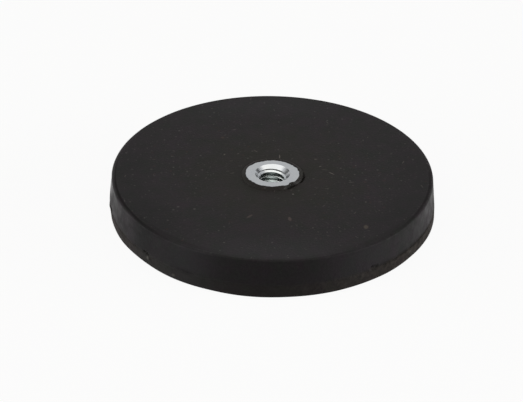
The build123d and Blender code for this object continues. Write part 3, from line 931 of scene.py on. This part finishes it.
bump = addNode(tree, "ShaderNodeBump", {},
               {"Height": ringShare, "Strength": zincLook["ringStrength"],
                "Distance": zincLook["ringHeight"] * metresPerMm})
tree.links.new(bump.outputs["Normal"], shader.inputs["Normal"])

wallBase = bush["drillTip"] + bush["boreRadius"] / tan(radians(bush["drillAngle"] / 2))
coneBase = bushHigh.z - bush["countersinkRadius"] + bush["boreRadius"]
bushProfile = profileObject("bushProfile", [           # corners on the outside are slightly broken
    (0, bushLow.z, 0, 3),
    (bush["outerRadius"], bushLow.z, 0.1, 1.5),
    (bush["outerRadius"], blankFoot, 0, 1.5),
    (bushHigh.x, blankFoot, 0.15, 1.5),
    (bushHigh.x, plateLow.z, 0.15, 1.5),
    (bush["outerRadius"], plateLow.z, 0, 1.5),
    (bush["outerRadius"], bushHigh.z - bush["rimChamfer"], 0.05, 0.5),
    (bush["outerRadius"] - bush["rimChamfer"], bushHigh.z, 0.05, 0.6),
    (bush["countersinkRadius"], bushHigh.z, 0.07, 0.3),
    (bush["boreRadius"], coneBase, 0, 0.3),
    (bush["boreRadius"], wallBase, 0, 0.6),
    (0, bush["drillTip"], 0, 1),
])
threadedBush = bakeTree("threadedBush", bushProfile, bushTree, {**thread, "finish": zinc})
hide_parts("threaded_bush")
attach(threadedBush, "root")

# Back plate: punched cold-rolled sheet, grey with a faint rolling grain along X and a thin film of oil
sheetLook = {
    "roughness": 0.38,
    "grainStretch": (0.05, 2.2, 2.2),
    "grainHeight": 0.03,
    "grainStrength": 0.4,
    "oilSize": 9.0,
    "oiled": 0.3,               # roughness where the oil lies, and where it doesn't
    "dry": 0.48,
}
rolled, tree, shader, here = newFinish("coldRolledSheet", 1.0, sheetLook["roughness"])
stretched = addNode(tree, "ShaderNodeVectorMath", {"operation": "MULTIPLY"},
                    {0: here, 1: sheetLook["grainStretch"]})
lines = addNode(tree, "ShaderNodeTexNoise", {},
                {"Vector": stretched, "Scale": 1.0, "Detail": 4.0}).outputs["Fac"]
oil = addNode(tree, "ShaderNodeTexNoise", {},
              {"Vector": here, "Scale": 1 / sheetLook["oilSize"], "Detail": 3.0}).outputs["Fac"]
colour = addNode(tree, "ShaderNodeMix", {"data_type": "RGBA"},
                 {"Factor": lines, "A": linearColour("#8f9090"), "B": linearColour("#b4b3b0")})
colour = addNode(tree, "ShaderNodeMix", {"data_type": "RGBA"},
                 {"Factor": oil, "A": colour, "B": linearColour("#968f86")})
tree.links.new(colour.outputs["Result"], shader.inputs["Base Color"])
dull = addNode(tree, "ShaderNodeMapRange", {},
               {"Value": oil, "To Min": sheetLook["oiled"], "To Max": sheetLook["dry"]})
tree.links.new(dull.outputs["Result"], shader.inputs["Roughness"])
bump = addNode(tree, "ShaderNodeBump", {},
               {"Height": lines, "Strength": sheetLook["grainStrength"],
                "Distance": sheetLook["grainHeight"] * metresPerMm})
tree.links.new(bump.outputs["Normal"], shader.inputs["Normal"])

# Magnets: bright nickel plate on a sintered block, a warm mirror with a slight orange peel
nickelLook = {
    "roughness": 0.14,
    "peelSize": 0.8,
    "peelHeight": 0.02,
    "peelStrength": 0.2,
    "hazeSize": 5.0,
    "clear": 0.08,              # roughness without haze, and with it
    "hazy": 0.24,
}
nickel, tree, shader, here = newFinish("brightNickelPlate", 1.0, nickelLook["roughness"])
peel = addNode(tree, "ShaderNodeTexNoise", {},
               {"Vector": here, "Scale": 1 / nickelLook["peelSize"], "Detail": 2.0}).outputs["Fac"]
haze = addNode(tree, "ShaderNodeTexNoise", {},
               {"Vector": here, "Scale": 1 / nickelLook["hazeSize"], "Detail": 4.0}).outputs["Fac"]
colour = addNode(tree, "ShaderNodeMix", {"data_type": "RGBA"},
                 {"Factor": haze, "A": linearColour("#cfc8bb"), "B": linearColour("#dcd7cd")})
tree.links.new(colour.outputs["Result"], shader.inputs["Base Color"])
dull = addNode(tree, "ShaderNodeMapRange", {},
               {"Value": haze, "To Min": nickelLook["clear"], "To Max": nickelLook["hazy"]})
tree.links.new(dull.outputs["Result"], shader.inputs["Roughness"])
bump = addNode(tree, "ShaderNodeBump", {},
               {"Height": peel, "Strength": nickelLook["peelStrength"],
                "Distance": nickelLook["peelHeight"] * metresPerMm})
tree.links.new(bump.outputs["Normal"], shader.inputs["Normal"])

for name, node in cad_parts.items():
    if name == "steel_plate" or name.startswith("magnet_"):
        node.data.materials.clear()
        node.data.materials.append(rolled if name == "steel_plate" else nickel)
print("materials on", sorted(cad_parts))

# Studio: pale floor, white surroundings, soft boxes; its lengths are in metres
studio = {
    "floorSize": 8.0,
    "floorDrop": 0.00002,       # so that the floor and the holding face don't share a plane
    "floorColour": "#c9c9c7",
    "floorWhite": 0.93,
    "ambient": 0.05,
    "whiteBounces": 3.5,        # reflections deeper than this see the dim room
}
softBoxes = {                   # place, width, depth, radiance, colour; each faces the object
    "overheadBox": ((0, -0.17, 0.8), 1.9, 0.85, 1.32, "#fffcf4"),
    "leftBox": ((-0.82, -0.1, 0.16), 0.8, 0.3, 10.0, "#ffffff"),
    "rightBox": ((0.82, -0.1, 0.16), 0.8, 0.3, 12.0, "#ffffff"),
}
darkCards = {"leftCard": (-0.8, 0.42, 0.34), "rightCard": (0.8, 0.42, 0.34)}   # only metal shows them
cardSize = {"width": 0.46, "height": 0.36}
squareCorners = ((-1, -1), (1, -1), (1, 1), (-1, 1))


def sheetObject(name, corners, material):  # one flat face
    mesh = bpy.data.meshes.new(name)
    mesh.from_pydata(corners, [], [(0, 1, 2, 3)])
    mesh.materials.append(material)
    return newObject(name, mesh)


paper = bpy.data.materials.new("paleFloor")
paper.use_nodes = True
tree = paper.node_tree
tree.nodes.clear()
lightPath = addNode(tree, "ShaderNodeLightPath").outputs
seen = addNode(tree, "ShaderNodeMath", {"operation": "ADD", "use_clamp": True},
               {0: lightPath["Is Camera Ray"], 1: lightPath["Is Glossy Ray"]})
seen = addNode(tree, "ShaderNodeMath", {"operation": "ADD", "use_clamp": True},
               {0: seen, 1: lightPath["Is Transmission Ray"]})
whiteShare = addNode(tree, "ShaderNodeMath", {"operation": "MULTIPLY"}, {0: seen, 1: studio["floorWhite"]})
plain = addNode(tree, "ShaderNodeBsdfDiffuse", {}, {"Color": linearColour(studio["floorColour"])})
white = addNode(tree, "ShaderNodeEmission", {}, {"Strength": 1.0})
floorMix = addNode(tree, "ShaderNodeMixShader", {}, {0: whiteShare, 1: plain, 2: white})
fromBelow = addNode(tree, "ShaderNodeNewGeometry").outputs["Backfacing"]   # so that the underside shows
clear = addNode(tree, "ShaderNodeBsdfTransparent")
floorMix = addNode(tree, "ShaderNodeMixShader", {}, {0: fromBelow, 1: floorMix, 2: clear})
addNode(tree, "ShaderNodeOutputMaterial", {}, {"Surface": floorMix})
half = studio["floorSize"] / 2
floor = sheetObject("floor", [(x * half, y * half, -studio["floorDrop"]) for x, y in squareCorners], paper)

world = bpy.data.worlds.new("whiteRoom")
scene.world = world
world.use_nodes = True
tree = world.node_tree
tree.nodes.clear()
lightPath = addNode(tree, "ShaderNodeLightPath").outputs
early = addNode(tree, "ShaderNodeMath", {"operation": "LESS_THAN"},
                {0: lightPath["Ray Depth"], 1: studio["whiteBounces"]})
shine = addNode(tree, "ShaderNodeMath", {"operation": "MULTIPLY"},
                {0: lightPath["Is Glossy Ray"], 1: early})
seen = addNode(tree, "ShaderNodeMath", {"operation": "ADD", "use_clamp": True},
               {0: lightPath["Is Camera Ray"], 1: shine})
seen = addNode(tree, "ShaderNodeMath", {"operation": "ADD", "use_clamp": True},
               {0: seen, 1: lightPath["Is Transmission Ray"]})
level = addNode(tree, "ShaderNodeMapRange", {}, {"Value": seen, "To Min": studio["ambient"], "To Max": 1.0})
backdrop = addNode(tree, "ShaderNodeBackground", {}, {"Color": (1, 1, 1, 1), "Strength": level})
addNode(tree, "ShaderNodeOutputWorld", {}, {"Surface": backdrop})

for name, (place, width, depth, radiance, hexText) in softBoxes.items():
    lamp = bpy.data.lights.new(name, "AREA")
    lamp.shape = "RECTANGLE"
    lamp.size, lamp.size_y = width, depth
    lamp.color = linearColour(hexText)[:3]
    lamp.energy = radiance * width * depth * pi
    box = newObject(name, lamp)
    box.location = place
    box.rotation_mode = "QUATERNION"
    box.rotation_quaternion = Vector(place).to_track_quat("Z", "Y")
    box.visible_camera = False

black = bpy.data.materials.new("blackCard")
black.use_nodes = True
black.node_tree.nodes["Principled BSDF"].inputs["Base Color"].default_value = linearColour("#101010")
for name, place in darkCards.items():
    turn = (-Vector(place)).to_track_quat("Z", "Y")
    corners = [Vector((x * cardSize["width"] / 2, y * cardSize["height"] / 2, 0)) for x, y in squareCorners]
    card = sheetObject(name, [turn @ corner + Vector(place) for corner in corners], black)
    card.visible_camera = card.visible_diffuse = card.visible_shadow = False

scene.view_settings.view_transform = "Standard"

# Camera
cameraPlace = {
    "distance": 692.9,
    "elevation": 31.533,
    "aim": (-2.13, 0, 2.23),
    "roll": 0.98,
    "lens": 233.8,
    "sensor": 36,
}
cameraData = bpy.data.cameras.new("camera")
camera = newObject("camera", cameraData)
scene.camera = camera
cameraData.sensor_width = cameraPlace["sensor"]
cameraData.lens = cameraPlace["lens"]
lift = radians(cameraPlace["elevation"])
camera.location = Vector((0, -cos(lift), sin(lift))) * cameraPlace["distance"] / mmPerMetre
sight = Vector(cameraPlace["aim"]) / mmPerMetre - camera.location
camera.rotation_mode = "QUATERNION"
camera.rotation_quaternion = (sight.to_track_quat("-Z", "Y")
                              @ Quaternion((0, 0, 1), radians(cameraPlace["roll"])))
cameraData.clip_start, cameraData.clip_end = 0.01, 20
